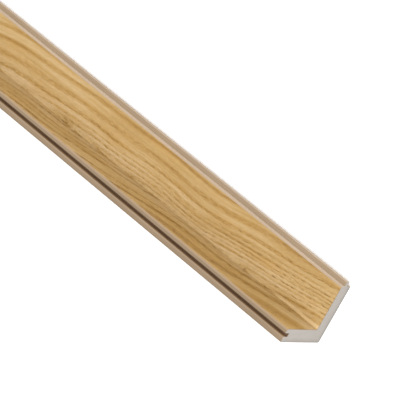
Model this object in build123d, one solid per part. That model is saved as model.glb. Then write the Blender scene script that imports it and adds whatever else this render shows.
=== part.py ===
"""Inside corner moulding for tongue-and-groove wall boards, as one full length of stock.

A fibreboard core with an L-shaped section carries a thin oak-pattern foil on the two faces that meet in the
inside corner. The edge of the standing leg is grooved, and the edge of the flat leg has the tongue that fits
such a groove. Both edges are bevelled on the decorated side, and the bevels cut through foil and core alike.

Millimetres. The stock runs along Y. One leg lies flat on the floor, its back at Z = 0, and the other stands
up along Z on the -X side. The origin is under the middle of the overall box.
"""

import os

from build123d import *

# Stock
stock_length = 2440.0
leg_width = 52.0  # from the back corner to the end of a leg, without the tongue
board_thickness = 12.0  # core and foil together

# Oak-pattern foil
foil_thickness = 0.35
fold_radius = 0.8  # of the foil's face, in the inside corner

# Milled edges
edge_bevel = 1.6
front_lip = 4.0  # from the decorated face to the groove
groove_width = 3.2
tongue_length = 4.2
tongue_tip_bevel = 0.4
tongue_side_clearance = 0.1  # between the tongue and each wall of a groove
tongue_end_clearance = 0.8  # between the tongue's tip and the floor of a groove

# Sizes that follow from the ones above
core_thickness = board_thickness - foil_thickness
core_fold_radius = fold_radius + foil_thickness
joint_line = board_thickness - front_lip - groove_width / 2  # middle of groove and tongue, from the back
groove_depth = tongue_length + tongue_end_clearance
tongue_thickness = groove_width - 2 * tongue_side_clearance
overall_width = leg_width + tongue_length


def corner_at(face, x, z):
    """The corner of a section that lies at (x, z)."""
    return face.vertices().sort_by_distance((x, z, 0))[0]


def angle_section(thickness, inner_radius):
    """Two equal legs, with the back corner at (0, 0) and a rounded inside corner."""
    outline = Polyline(
        (0, 0),
        (leg_width, 0),
        (leg_width, thickness),
        (thickness, thickness),
        (thickness, leg_width),
        (0, leg_width),
        close=True,
    )
    section = make_face(outline)
    return fillet(corner_at(section, thickness, thickness), inner_radius)


def bevelled_section():
    """The whole board, foil and core, with the decorated corner of each leg's edge bevelled off."""
    section = angle_section(board_thickness, fold_radius)
    decorated_corners = [
        corner_at(section, leg_width, board_thickness),
        corner_at(section, board_thickness, leg_width),
    ]
    return chamfer(decorated_corners, edge_bevel)


def groove_section():
    """The slot in the end of the standing leg."""
    slot_centre = Pos(joint_line, leg_width - groove_depth / 2)
    return slot_centre * Rectangle(groove_width, groove_depth)


def tongue_section():
    """The tongue on the end of the flat leg, with its two tip corners broken."""
    tongue = Pos(leg_width + tongue_length / 2, joint_line) * Rectangle(tongue_length, tongue_thickness)
    tip_corners = tongue.vertices().sort_by(Axis.X)[-2:]
    return chamfer(tip_corners, tongue_tip_bevel)


def full_length(section):
    """A section drawn in X and Z, run out to both ends of the stock and centred on the origin."""
    centred = Plane.XZ * Pos(-overall_width / 2, 0) * section
    return extrude(centred, amount=stock_length / 2, both=True)


# Sections of the two pieces
board_section = bevelled_section()
core_limit = angle_section(core_thickness, core_fold_radius)
core_section = (board_section & core_limit) - groove_section() + tongue_section()
foil_section = board_section - core_limit

# One file for each piece
pieces = {
    "core_profile": full_length(core_section),
    "oak_foil": full_length(foil_section),
}
os.makedirs("parts", exist_ok=True)
for node, piece in pieces.items():
    export_step(piece, f"parts/{node}.step")
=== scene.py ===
"""Looks of the inside corner moulding: oak-pattern foil, bare fibreboard edges and pale sawn ends.

Metres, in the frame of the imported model: the stock runs along Y, one leg lies flat and the other stands up.
"""

import math

import bmesh
import bpy
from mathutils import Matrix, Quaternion, Vector
from mathutils.bvhtree import BVHTree


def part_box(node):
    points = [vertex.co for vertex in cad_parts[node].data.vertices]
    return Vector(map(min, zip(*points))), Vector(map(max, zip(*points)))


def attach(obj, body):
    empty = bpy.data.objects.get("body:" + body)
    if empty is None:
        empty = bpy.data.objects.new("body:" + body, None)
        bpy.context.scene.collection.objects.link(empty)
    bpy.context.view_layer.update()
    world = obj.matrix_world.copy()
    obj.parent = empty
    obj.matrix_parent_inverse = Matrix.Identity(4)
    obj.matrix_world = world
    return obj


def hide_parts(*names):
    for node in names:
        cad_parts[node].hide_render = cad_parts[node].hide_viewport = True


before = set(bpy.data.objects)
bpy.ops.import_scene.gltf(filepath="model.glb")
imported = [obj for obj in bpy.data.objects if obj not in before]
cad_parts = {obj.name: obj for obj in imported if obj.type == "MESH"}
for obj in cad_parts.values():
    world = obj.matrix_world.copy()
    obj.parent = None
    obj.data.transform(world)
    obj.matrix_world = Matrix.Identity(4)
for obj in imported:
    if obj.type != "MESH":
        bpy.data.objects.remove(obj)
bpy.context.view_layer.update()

# Places on the part
mm = 0.001
core_low, core_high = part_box("core_profile")
foil_low, foil_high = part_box("oak_foil")
near_end = core_low.y
stock_length = core_high.y - core_low.y

# Camera, set to the photograph's view: angles in degrees, lens and sensor in millimetres
view_azimuth = 29.3
view_elevation = 54.1
view_roll = -85.55
view_distance = 2.3885
view_lens = 261.4
view_sensor = 36.0
view_far_limit = 200.0
view_point = Vector((4.6 * mm, near_end + 141.5 * mm, foil_low.z))

# Light: a white dome and a broad softbox overhead
dome_white = (1.0, 1.0, 1.0, 1.0)
dome_strength = 0.95
key_strength = 2.6
key_spread = math.radians(70)
key_from = Vector((0.25, -0.35, 0.9))

# Floor, just below the part so that their faces don't fight
floor_reach = 60.0
floor_gap = 0.05 * mm
floor_roughness = 0.9

# Mesh finish
arris = 0.18 * mm
arris_steps = 2
arris_profile = 0.5
slice_length = 20 * mm
crease_angle = math.radians(30)
flat_angle = math.radians(0.5)
weld_distance = 0.001 * mm
bond_distance = 0.01 * mm

# Telling the faces of the core apart
facing = 0.5
margin = 1.0 * mm
lip_depth = 0.5 * mm


def srgb(red, green, blue):
    """A colour as seen on a screen, 0 to 255, as linear light."""
    levels = [c / 255 for c in (red, green, blue)]
    return tuple(c / 12.92 if c < 0.04045 else ((c + 0.055) / 1.055) ** 2.4 for c in levels)


class Field:
    """A value that varies over a surface, as the output of a node. Arithmetic on it adds math nodes."""

    def __init__(self, graph, socket):
        self.graph = graph
        self.socket = socket

    def __add__(self, other):
        return self.graph.math("ADD", self, other)

    def __sub__(self, other):
        return self.graph.math("SUBTRACT", self, other)

    def __rsub__(self, other):
        return self.graph.math("SUBTRACT", other, self)

    def __mul__(self, other):
        return self.graph.math("MULTIPLY", self, other)

    def __truediv__(self, other):
        return self.graph.math("DIVIDE", self, other)

    def exp(self):
        return self.graph.math("EXPONENT", self)

    def sin(self):
        return self.graph.math("SINE", self)

    def cos(self):
        return self.graph.math("COSINE", self)

    def fract(self):
        return self.graph.math("FRACT", self)

    def floor(self):
        return self.graph.math("FLOOR", self)

    def abs(self):
        return self.graph.math("ABSOLUTE", self)

    def least(self, other):
        return self.graph.math("MINIMUM", self, other)

    def most(self, other):
        return self.graph.math("MAXIMUM", self, other)

    def above(self, limit):
        return self.graph.math("GREATER_THAN", self, limit)

    def ramp(self, start, end):
        """0 before start, 1 after end, and smooth between them."""
        return self.graph.smooth_ramp(self, start, end)

    def band(self, start, full, fade, end):
        """0 before start, 1 from full to fade, and 0 again after end."""
        return self.ramp(start, full) * self.ramp(end, fade)

    def steps(self, marks):
        """Ramps added up, each of them given by its start, its end and its strength."""
        return added([self.ramp(start, end) * strength for start, end, strength in marks])


class Graph:
    """The node tree of one material."""

    def __init__(self, name):
        self.material = bpy.data.materials.new(name)
        self.material.use_nodes = True
        self.tree = self.material.node_tree
        self.shader = self.tree.nodes["Principled BSDF"]

    def node(self, kind, **settings):
        made = self.tree.nodes.new(kind)
        for name, value in settings.items():
            setattr(made, name, value)
        return made

    def feed(self, socket, value):
        if isinstance(value, Field):
            self.tree.links.new(value.socket, socket)
        else:
            socket.default_value = value

    def math(self, operation, *values):
        made = self.node("ShaderNodeMath", operation=operation)
        for socket, value in zip(made.inputs, values):
            self.feed(socket, value)
        return Field(self, made.outputs[0])

    def smooth_ramp(self, value, start, end):
        made = self.node("ShaderNodeMapRange", interpolation_type="SMOOTHSTEP")
        self.feed(made.inputs["Value"], value)
        self.feed(made.inputs["From Min"], start)
        self.feed(made.inputs["From Max"], end)
        return Field(self, made.outputs["Result"])

    def place(self):
        """X, Y and Z in the part's frame."""
        coordinates = self.node("ShaderNodeTexCoord")
        split = self.node("ShaderNodeSeparateXYZ")
        self.tree.links.new(coordinates.outputs["Object"], split.inputs[0])
        return [Field(self, socket) for socket in split.outputs]

    def vector(self, x, y, z=0.0):
        made = self.node("ShaderNodeCombineXYZ")
        for socket, value in zip(made.inputs, (x, y, z)):
            self.feed(socket, value)
        return Field(self, made.outputs[0])

    def noise(self, x, y, z=0.0, detail=2.0, roughness=0.5):
        """Smooth noise from about -1 to 1, with features about one unit in size."""
        made = self.node("ShaderNodeTexNoise")
        self.feed(made.inputs["Vector"], self.vector(x, y, z))
        made.inputs["Scale"].default_value = 1.0
        made.inputs["Detail"].default_value = detail
        made.inputs["Roughness"].default_value = roughness
        return Field(self, made.outputs["Fac"]) * 2.0 - 1.0

    def grain_noise(self, across, along, width, length, layer, detail=2.0, roughness=0.5):
        """Noise drawn out along the stock, with features of a width and a length. Each layer is different."""
        return self.noise(across / width, along / length, layer, detail, roughness)

    def ring_noise(self, rings, over, layer):
        """Noise that changes from ring to ring, over a number of rings."""
        return self.noise(rings / over, 0.0, layer, detail=1.0)

    def mottle(self, place, size, detail=2.0, roughness=0.5):
        """Noise through the board, with features of a size along X, Y and Z."""
        x, y, z = [at / reach for at, reach in zip(place, size)]
        return self.noise(x, y, z, detail, roughness)

    def waves(self, value, shapes):
        """Sine waves added up, each given by its length, the place where it starts and its height."""
        turns = [((value - start) * (2 * math.pi / length), height) for length, start, height in shapes]
        return added([turn.sin() * height for turn, height in turns])

    def spots(self, across, along, width, length, shift, full, end):
        """Scattered spots, about one in each cell of a width and a length, 1 inside and 0 outside."""
        made = self.node("ShaderNodeTexVoronoi", voronoi_dimensions="2D")
        self.feed(made.inputs["Vector"], self.vector(across / width + shift, along / length))
        made.inputs["Scale"].default_value = 1.0
        return Field(self, made.outputs["Distance"]).ramp(end, full)

    def random(self, value):
        """One random number from 0 to 1 for each value."""
        made = self.node("ShaderNodeTexWhiteNoise", noise_dimensions="1D")
        self.feed(made.inputs["W"], value)
        return Field(self, made.outputs["Value"])

    def mix(self, share, first, second):
        """Two colours mixed. The node has other sockets of the same names, so these go by number."""
        made = self.node("ShaderNodeMix", data_type="RGBA")
        self.feed(made.inputs[0], share)
        for socket, colour in zip((made.inputs[6], made.inputs[7]), (first, second)):
            self.feed(socket, colour if isinstance(colour, Field) else (*colour, 1.0))
        return Field(self, made.outputs[2])

    def tones(self, value, stops):
        """A colour for each value from 0 to 1, blended between stops of (value, colour)."""
        made = self.node("ShaderNodeValToRGB")
        self.feed(made.inputs["Fac"], value)
        elements = made.color_ramp.elements
        elements[0].position, elements[-1].position = stops[0][0], stops[-1][0]
        for at, _ in stops[1:-1]:
            elements.new(at)
        for element, (_, colour) in zip(elements, stops):
            element.color = (*colour, 1.0)
        return Field(self, made.outputs["Color"])

    def bump(self, height, distance, strength):
        made = self.node("ShaderNodeBump")
        made.inputs["Strength"].default_value = strength
        made.inputs["Distance"].default_value = distance
        self.feed(made.inputs["Height"], height)
        return Field(self, made.outputs["Normal"])

    def finish(self, colour, roughness, normal):
        self.feed(self.shader.inputs["Base Color"], colour)
        self.feed(self.shader.inputs["Roughness"], roughness)
        self.feed(self.shader.inputs["Normal"], normal)
        return self.material


def added(fields):
    return sum(fields[1:], fields[0])


def by_leg(standing, on_standing, on_flat):
    """One value on the standing leg and another on the flat leg, blended across the fold."""
    return standing * (on_standing - on_flat) + on_flat


# Oak figure, in millimetres on the foil laid out flat: the fold is at 0, and the standing leg is below 0.
# A pair of slopes, shifts, wobbles or tones is for the standing leg and then the flat leg. Any other pair is
# the start and the end of a ramp.
fold_blend = (3.0, -4.0)

# Bends of the grain, with waves given by their length, start and height
standing_waves = [(177.0, 35.5, 4.4), (105.5, 64.0, 1.9)]
flat_waves = [(381.5, 33.0, 3.6), (155.7, 96.0, 0.9), (96.8, 118.0, 0.7)]
flat_waves_level = -0.3
wobble_share = (1.0, 0.35)
pore_slope = (0.18, 0.06)

# Growth rings
ring_slope = 0.099  # on the flat leg, at the fold
ring_reach = 126.0  # distance from the fold over which that slope eases off
ring_climb = 0.256  # slope on the standing leg
ring_mean = 0.0145  # rings in each millimetre along the stock
ring_swing = 0.0105  # how far that number rises and falls
ring_peak = 0.0048  # sharpens its highs and flattens its lows
ring_cycle = 1000.0  # from one high to the next
ring_dense_at = 201.0  # place of a high
ring_draw = 462644.0  # settles which rings are dark
ring_shift = (0.18, -0.3)
ring_uneven = 0.2
ring_uneven_over = 1.6
seasons_over = 2.6

# Dark line in each ring: where across the ring it starts, is full, fades and ends, and how dark it is
fine_line = (0.05, 0.32, 0.34)
fine_end_spread = 0.6
fine_end_crowded = 0.3
fine_least = 0.1925
fine_random = 0.5005
broad_line = (0.0, 0.33, 0.36, 0.9)
broad_least = 0.1
broad_random = 0.68
broad_draw = (0.05, 0.9)
middle_line = (0.05, 0.4, 0.4, 0.85)
middle_place = 0.55
middle_dark = 0.35
break_mean = 0.9
break_spread = 0.65
break_crowded = 1.5

# Pores and flecks: size of a spot's cell, and how far from the spot's middle it is full and ends, in cells
long_pore = dict(width=0.8, length=11.0, shift=0.0, full=0.1, end=0.26)
short_pore = dict(width=0.7, length=3.6, shift=40.5, full=0.08, end=0.3)
fleck = dict(width=1.1, length=13.0, shift=7.5, full=0.05, end=0.3)
short_pore_share = 0.9
pore_anywhere = 0.25
pore_in_line = 0.75
pore_spread = 0.65
pore_crowded = 0.55

# Painted light and shade on the foil: a painted highlight along the crease in the fold, painted shade
# darkening towards the outer edges (the rims), and painted light paling the hollow on each side of the fold
crease_middle = 1.5
crease_width = (2.1, 0.4)
crease_near_end = [(65.0, 15.0, 0.52)]
crease_elsewhere = 0.15
face_rim = (6.0, 24.0)
edge_rim = (35.0, 38.5)
hollow_flat = (-1.0, 2.0, 4.0, 16.0)
hollow_standing = (1.0, -5.0, -8.0, -22.0)
hollow_near_end = [(110.0, 30.0, 0.6)]

# How much each part of the figure darkens the foil, how much the painted shade of the rims darkens it, and
# how much the painted light of the hollow pales it
tone_line = 0.6
tone_seasons = 0.22
tone_streak = (0.4, 0.3)
tone_cloud = (0.14, 0.3)
tone_strand = (0.18, 0.04)
tone_fibre = 0.12
tone_fleck = 0.12
tone_rim_shade = (0.13, 0.07)
tone_hollow_light = 0.12
tone_ground_standing = 0.2
tone_ground_flat = 0.237
tone_crowded_flat = 0.03

# How golden the foil is
gold_patches = (-0.1, 0.6)
gold_patch_share = 0.25
gold_spread_line = 0.2
gold_standing = 0.1

# Colours and gloss of the foil
oak_tones = [
    (0.0, srgb(184, 158, 118)),
    (0.35, srgb(165, 135, 84)),
    (0.65, srgb(146, 112, 56)),
    (1.0, srgb(112, 79, 30)),
]
golden = srgb(170, 128, 60)
pore_brown = srgb(92, 62, 26)
pore_colour_share = 0.7
# Colour of the painted highlight along the fold's crease
crease_highlight_colour = srgb(200, 172, 128)
foil_gloss = 0.35
foil_roughness = 0.45
pore_roughness = 0.2
foil_fibre_height = 0.25
foil_relief = 0.06 * mm
foil_bump = 0.5


def bend(g, across, along, width, length, height, layer, detail):
    """Bends of the grain, of a width and a length and up to about that height."""
    return g.noise(along / length, across / width, layer, detail) * height


def bent_grain(g, across, along, standing):
    """Distance from the fold as the bent grain has it, and the same for the pores, which run at a slope."""
    drift = bend(g, across, along, width=90.0, length=400.0, height=5.0, layer=52.0, detail=1.0)
    wobble = bend(g, across, along, width=12.0, length=60.0, height=2.4, layer=7.0, detail=3.0)
    ripple = bend(g, across, along, width=5.0, length=26.0, height=1.1, layer=37.0, detail=2.0)
    shiver = bend(g, across, along, width=2.5, length=9.0, height=0.45, layer=11.0, detail=2.0)
    sway = by_leg(standing, g.waves(along, standing_waves), g.waves(along, flat_waves) + flat_waves_level)
    bent = across + sway + drift + (wobble + ripple) * by_leg(standing, *wobble_share) + shiver
    behind_fold = 1.0 - across.above(0.0)
    return bent, bent + along * by_leg(behind_fold, *pore_slope)


def growth_rings(g, bent, along, standing):
    """A number that grows by one from ring to ring, and how crowded the rings are, from 0 to 1."""
    lead_flat = ((bent.most(0.0) / ring_reach).exp() - 1.0) * (ring_reach / ring_slope)
    run = along + lead_flat + bent.least(0.0) / ring_climb
    turn = 2 * math.pi / ring_cycle
    swing = (run - ring_dense_at) * turn
    crowding = swing.cos() * 0.5 + 0.5
    peaks = (swing * 2.0).sin() * (ring_peak / turn / 2)
    rings = run * ring_mean + swing.sin() * (ring_swing / turn) + peaks
    rings = rings + g.ring_noise(rings, ring_uneven_over, layer=13.0) * ring_uneven
    return rings + by_leg(standing, *ring_shift), crowding


def ring_lines(g, rings, crowding, grain, along, standing):
    """The dark line of each ring, broken into strokes: fine on the flat leg, broad on the standing leg."""
    phase = rings.fract()
    chance = g.random(rings.floor() + ring_draw)
    fine = phase.band(*fine_line, crowding * fine_end_crowded + fine_end_spread)
    fine = fine * (chance * fine_random + fine_least)
    broad = phase.band(*broad_line) * (chance.ramp(*broad_draw) * broad_random + broad_least)
    middle = (rings * 2.0 + middle_place).fract().band(*middle_line) * crowding * middle_dark
    strokes = g.grain_noise(grain, along, width=1.0, length=6.0, layer=23.0)
    breaks = strokes * (crowding * break_crowded + break_spread) + break_mean
    return by_leg(standing, broad + middle, fine) * breaks


def pore_marks(g, line, crowding, grain, along):
    """Short dark pores, most of them in the rings' lines."""
    long_pores = g.spots(grain, along, **long_pore)
    short_pores = g.spots(grain, along, **short_pore)
    pores = (long_pores + short_pores * short_pore_share) * (line * pore_in_line + pore_anywhere)
    return pores * (crowding * pore_crowded + pore_spread)


def oak_foil_material():
    """Satin foil with the look of flat-sawn oak, a painted highlight along the crease where it is folded into
    the corner, painted shade towards its outer edges and painted light in the hollow by the fold.
    """
    g = Graph("oak_pattern_foil")
    x, y, z = g.place()
    across = ((x - foil_low.x) - (z - foil_low.z)) / mm
    along = (y - near_end) / mm
    from_end = along.least(stock_length / mm - along)
    standing = across.ramp(*fold_blend)

    bent, grain = bent_grain(g, across, along, standing)
    rings, crowding = growth_rings(g, bent, along, standing)
    line = ring_lines(g, rings, crowding, grain, along, standing)
    pores = pore_marks(g, line, crowding, grain, along)
    seasons = g.ring_noise(rings, seasons_over, layer=74.0)
    fibre = g.grain_noise(grain, along, width=0.45, length=25.0, layer=5.0, detail=3.0, roughness=0.6)
    strand = g.grain_noise(grain, along, width=0.9, length=40.0, layer=41.0)
    streak = g.grain_noise(grain, along, width=2.2, length=70.0, layer=9.0, detail=3.0)
    cloud = g.grain_noise(grain, along, width=11.0, length=90.0, layer=17.0, detail=3.0)
    patches = g.grain_noise(grain, along, width=5.0, length=45.0, layer=31.0)
    flecks = g.spots(grain, along, **fleck)

    # Painted light and shade: a highlight along the fold's crease, stronger near the ends; shade towards the
    # rims; light paling the hollow by the fold, more so near the ends
    crease_highlight = (across - crease_middle).abs().ramp(*crease_width)
    crease_highlight = crease_highlight * (from_end.steps(crease_near_end) + crease_elsewhere)
    rim_shade = across.abs().ramp(*face_rim) + across.ramp(*edge_rim)
    hollow_light = across.band(*hollow_standing) * (from_end.steps(hollow_near_end) + 1.0)
    hollow_light = hollow_light + across.band(*hollow_flat)

    tone = line * tone_line + seasons * tone_seasons + fibre * tone_fibre - flecks * tone_fleck
    tone = tone + streak * by_leg(standing, *tone_streak) + cloud * by_leg(standing, *tone_cloud)
    tone = tone + strand * by_leg(standing, *tone_strand) + rim_shade * by_leg(standing, *tone_rim_shade)
    tone = tone + by_leg(standing, tone_ground_standing, crowding * tone_crowded_flat + tone_ground_flat)
    tone = tone - hollow_light * tone_hollow_light
    gold = patches.ramp(*gold_patches) * gold_patch_share
    gold = gold + line * (1.0 - crowding) * gold_spread_line + standing * gold_standing
    colour = g.mix(gold, g.tones(tone, oak_tones), golden)
    colour = g.mix(pores * pore_colour_share, colour, pore_brown)
    colour = g.mix(crease_highlight, colour, crease_highlight_colour)
    g.shader.inputs["Specular IOR Level"].default_value = foil_gloss
    roughness = pores * pore_roughness + foil_roughness
    normal = g.bump(fibre * foil_fibre_height - pores, foil_relief, foil_bump)
    return g.finish(colour, roughness, normal)


# Bare fibreboard: size of its fibres, of the cutter's streaks and of slow changes of tone, along X, Y and Z
fibre_size = (0.5 * mm, 0.9 * mm, 0.5 * mm)
streak_size = (0.35 * mm, 45 * mm, 0.35 * mm)
slow_size = (12 * mm, 60 * mm, 12 * mm)
sawn_fibre_size = (0.45 * mm, 0.45 * mm, 0.45 * mm)
sawn_slow_size = (9 * mm, 9 * mm, 9 * mm)
fibre_roughness = 0.65

# How much each of those three darkens the board
board_shares = (0.3, 0.25, 0.25)
groove_shares = (0.2, 0.2, 0.2)
board_relief = 0.05 * mm
board_bump = 0.5
streak_height = 0.6

# Saw's marks on the ends: width and length of a tooth's mark, and how far it leans
tooth_width = 0.7 * mm
tooth_length = 30 * mm
tooth_lean = 0.4
sawn_shares = (0.2, 0.12, 0.15)

# Share of the dark colour in each finish, and where it grows: from one place to another, and by how much
plain_base = 0.5
milled_base = 0.35
# Painted shade: the milled lips darken towards the back corner and its arris, leaving them lighter by the
# groove's edge
milled_shade_from_back = [(4.5, 2.5, 0.3), (1.2, 0.2, 0.5)]
milled_front_lip = (6.8, 7.8, 12.0, 13.0)
milled_front_lip_share = 0.32
pale_base = 0.1
# Painted light: the flat leg's edge is palest on the shoulder between bevel and tongue, lifting the shade
# there; the bevel's top and the tongue are darker
shoulder_light_from_floor = [(10.0, 11.0, 0.8), (8.2, 7.4, 0.8)]
groove_base = 0.05
# Painted shade: the groove darkens from its mouth towards its floor
groove_shade_from_top = [(0.5, 4.8, 0.9)]
sawn_base = 0.2
sawn_from_back = [(5.0, 0.0, 0.35), (1.2, 0.2, 0.5)]

# Light and dark colour and roughness of each finish
milled_colours = (srgb(146, 126, 101), srgb(118, 98, 75))
milled_roughness = 0.75
bevel_colours = (srgb(155, 132, 104), srgb(137, 114, 86))
bevel_roughness = 0.7
pale_colours = (srgb(186, 165, 143), srgb(154, 134, 112))
pale_roughness = 0.7
# The groove's colours hold painted shade of the recess on top of the bare board's brown
groove_shaded_colours = (srgb(142, 110, 76), srgb(92, 67, 42))
groove_roughness = 0.8
sawn_colours = (srgb(162, 156, 149), srgb(124, 119, 112))
sawn_roughness = 0.8
back_colours = (srgb(144, 124, 99), srgb(124, 104, 80))
back_roughness = 0.7
foil_edge_colours = (srgb(122, 90, 52), srgb(98, 70, 38))
foil_edge_roughness = 0.6
floor_colours = (srgb(247, 247, 247), srgb(249, 249, 249))


def weighted(layers, shares):
    return added([layer * share for layer, share in zip(layers, shares)])


def board_surface(g, place, shares):
    """How dark bare board is from place to place, and its relief."""
    speckle = g.mottle(place, fibre_size, detail=3.0, roughness=fibre_roughness)
    streak = g.mottle(place, streak_size)
    slow = g.mottle(place, slow_size)
    normal = g.bump(speckle + streak * streak_height, board_relief, board_bump)
    return weighted((speckle, streak, slow), shares), normal


def plain_board_material(name, colours, roughness):
    """Bare fibreboard with no change from place to place."""
    g = Graph(name)
    dark, normal = board_surface(g, g.place(), board_shares)
    return g.finish(g.mix(dark + plain_base, *colours), roughness, normal)


def milled_edge_material():
    """Lips and tongue: tan, darker in front of the groove, and darker towards the back corner with painted
    shade, which leaves the back lip lighter by the groove's edge like a painted highlight.
    """
    g = Graph("milled_edge")
    x, y, z = g.place()
    dark, normal = board_surface(g, (x, y, z), board_shares)
    from_back = (x - core_low.x) / mm
    front_lip = from_back.band(*milled_front_lip) * milled_front_lip_share
    dark = dark + from_back.steps(milled_shade_from_back) + front_lip + milled_base
    return g.finish(g.mix(dark, *milled_colours), milled_roughness, normal)


def pale_edge_material():
    """The flat leg's edge: pale, most of all on the shoulder between the bevel and the tongue, where painted
    light lifts the shade of the corner above the tongue.
    """
    g = Graph("pale_edge")
    x, y, z = g.place()
    dark, normal = board_surface(g, (x, y, z), board_shares)
    height = (z - core_low.z) / mm
    dark = dark + height.steps(shoulder_light_from_floor) + pale_base
    return g.finish(g.mix(dark, *pale_colours), pale_roughness, normal)


def groove_material():
    """The groove: brown, with painted shade of the recess making it darker still towards its floor."""
    g = Graph("groove_painted_shade")
    x, y, z = g.place()
    dark, normal = board_surface(g, (x, y, z), groove_shares)
    down = (core_high.z - z) / mm
    dark = dark + down.steps(groove_shade_from_top) + groove_base
    return g.finish(g.mix(dark, *groove_shaded_colours), groove_roughness, normal)


def sawn_end_material():
    """The pale sawn end: fine speckle, faint marks of the saw's teeth, and greyer towards the back edges."""
    g = Graph("pale_sawn_end")
    x, y, z = g.place()
    speckle = g.mottle((x, y, z), sawn_fibre_size, detail=3.0, roughness=fibre_roughness)
    tooth = g.noise((x + z * tooth_lean) / tooth_width, 0.0, z / tooth_length, detail=1.0)
    slow = g.mottle((x, y, z), sawn_slow_size)
    from_back = (x - core_low.x).least(z - core_low.z) / mm
    dark = weighted((speckle, tooth, slow), sawn_shares) + from_back.steps(sawn_from_back) + sawn_base
    normal = g.bump(speckle + tooth, board_relief, board_bump)
    return g.finish(g.mix(dark, *sawn_colours), sawn_roughness, normal)


def eased_copy(node, name, neighbour):
    """A node's own shape as a tidy mesh: flat faces whole, sharp edges eased, cut into short lengths.

    Edges along the bond with the neighbour stay sharp, so that no seam opens between the two.
    """
    mesh = bmesh.new()
    mesh.from_mesh(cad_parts[node].data)
    bmesh.ops.remove_doubles(mesh, verts=mesh.verts, dist=weld_distance)
    bmesh.ops.dissolve_limit(mesh, angle_limit=flat_angle, verts=mesh.verts, edges=mesh.edges)
    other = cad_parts[neighbour].data
    bond = BVHTree.FromPolygons([v.co for v in other.vertices], [p.vertices for p in other.polygons])
    bonded = {v for v in mesh.verts if bond.find_nearest(v.co)[3] < bond_distance}
    sharp = [e for e in mesh.edges if len(e.link_faces) == 2 and e.calc_face_angle() > crease_angle]
    free = [e for e in sharp if not bonded.issuperset(e.verts)]
    bmesh.ops.bevel(
        mesh, geom=free, offset=arris, segments=arris_steps, profile=arris_profile, affect="EDGES"
    )
    low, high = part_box(node)
    slices = round((high.y - low.y) / slice_length)
    for i in range(1, slices):
        cut = Vector((0, low.y + (high.y - low.y) * i / slices, 0))
        parts = mesh.verts[:] + mesh.edges[:] + mesh.faces[:]
        bmesh.ops.bisect_plane(mesh, geom=parts, plane_co=cut, plane_no=(0, 1, 0))
    made = bpy.data.meshes.new(name)
    mesh.to_mesh(made)
    mesh.free()
    piece = bpy.data.objects.new(name, made)
    bpy.context.scene.collection.objects.link(piece)
    piece.data.shade_smooth()
    piece.data.set_sharp_from_angle(angle=crease_angle)
    return piece


def core_finish(face):
    """Which finish a face of the core has."""
    centre, normal = face.center, face.normal
    if abs(normal.y) > facing:
        return "sawn end"
    behind = normal.x < -facing and centre.x < core_low.x + margin
    underneath = normal.z < -facing and centre.z < core_low.z + margin
    if behind or underneath:
        return "back"
    between_lips = core_low.x + margin < centre.x < foil_low.x - margin
    if between_lips and foil_low.z < centre.z < core_high.z - lip_depth:
        return "groove"
    if normal.x > facing and normal.z > facing and centre.z > foil_high.z:
        return "standing bevel"
    if normal.x > facing and centre.x > foil_high.x:
        return "pale edge"
    return "milled edge"


def make_core():
    piece = eased_copy("core_profile", "core_moulding", "oak_foil")
    finishes = {
        "milled edge": milled_edge_material(),
        "standing bevel": plain_board_material("standing_bevel", bevel_colours, bevel_roughness),
        "pale edge": pale_edge_material(),
        "groove": groove_material(),
        "sawn end": sawn_end_material(),
        "back": plain_board_material("sanded_back", back_colours, back_roughness),
    }
    for finish in finishes.values():
        piece.data.materials.append(finish)
    places = {name: place for place, name in enumerate(finishes)}
    for face in piece.data.polygons:
        face.material_index = places[core_finish(face)]
    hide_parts("core_profile")
    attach(piece, "root")


def make_foil():
    piece = eased_copy("oak_foil", "oak_foil_layer", "core_profile")
    piece.data.materials.append(oak_foil_material())
    piece.data.materials.append(plain_board_material("cut_foil", foil_edge_colours, foil_edge_roughness))
    for face in piece.data.polygons:
        face.material_index = 1 if abs(face.normal.y) > facing else 0
    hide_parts("oak_foil")
    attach(piece, "root")


def make_floor():
    mesh = bpy.data.meshes.new("floor")
    corners = [(-1, -1), (1, -1), (1, 1), (-1, 1)]
    mesh.from_pydata([(x * floor_reach, y * floor_reach, 0) for x, y in corners], [], [(0, 1, 2, 3)])
    floor = bpy.data.objects.new("floor", mesh)
    floor.location.z = core_low.z - floor_gap
    bpy.context.scene.collection.objects.link(floor)
    g = Graph("pale_floor")
    x, y, _ = g.place()
    tone = g.noise(x, y, detail=1.0)
    g.feed(g.shader.inputs["Base Color"], g.mix(tone * 0.5 + 0.5, *floor_colours))
    g.shader.inputs["Roughness"].default_value = floor_roughness
    g.shader.inputs["Specular IOR Level"].default_value = 0.0
    mesh.materials.append(g.material)


def make_light():
    world = bpy.data.worlds.new("studio")
    bpy.context.scene.world = world
    world.use_nodes = True
    background = world.node_tree.nodes["Background"]
    background.inputs["Color"].default_value = dome_white
    background.inputs["Strength"].default_value = dome_strength
    lamp = bpy.data.lights.new("overhead_softbox", "SUN")
    lamp.energy = key_strength
    lamp.angle = key_spread
    softbox = bpy.data.objects.new("overhead_softbox", lamp)
    softbox.rotation_mode = "QUATERNION"
    softbox.rotation_quaternion = (-key_from).to_track_quat("-Z", "Y")
    bpy.context.scene.collection.objects.link(softbox)


def make_camera():
    camera = bpy.data.objects.new("camera", bpy.data.cameras.new("camera"))
    camera.data.lens = view_lens
    camera.data.sensor_width = view_sensor
    camera.data.clip_end = view_far_limit
    azimuth, elevation = math.radians(view_azimuth), math.radians(view_elevation)
    level = Vector((math.sin(azimuth), -math.cos(azimuth), 0))
    back = level * math.cos(elevation) + Vector((0, 0, math.sin(elevation)))
    camera.location = view_point + back * view_distance
    camera.rotation_mode = "QUATERNION"
    upright = (-back).to_track_quat("-Z", "Y")
    camera.rotation_quaternion = upright @ Quaternion((0, 0, 1), math.radians(view_roll))
    bpy.context.scene.collection.objects.link(camera)
    bpy.context.scene.camera = camera


make_core()
make_foil()
make_floor()
make_light()
make_camera()
bpy.context.scene.view_settings.view_transform = "Standard"
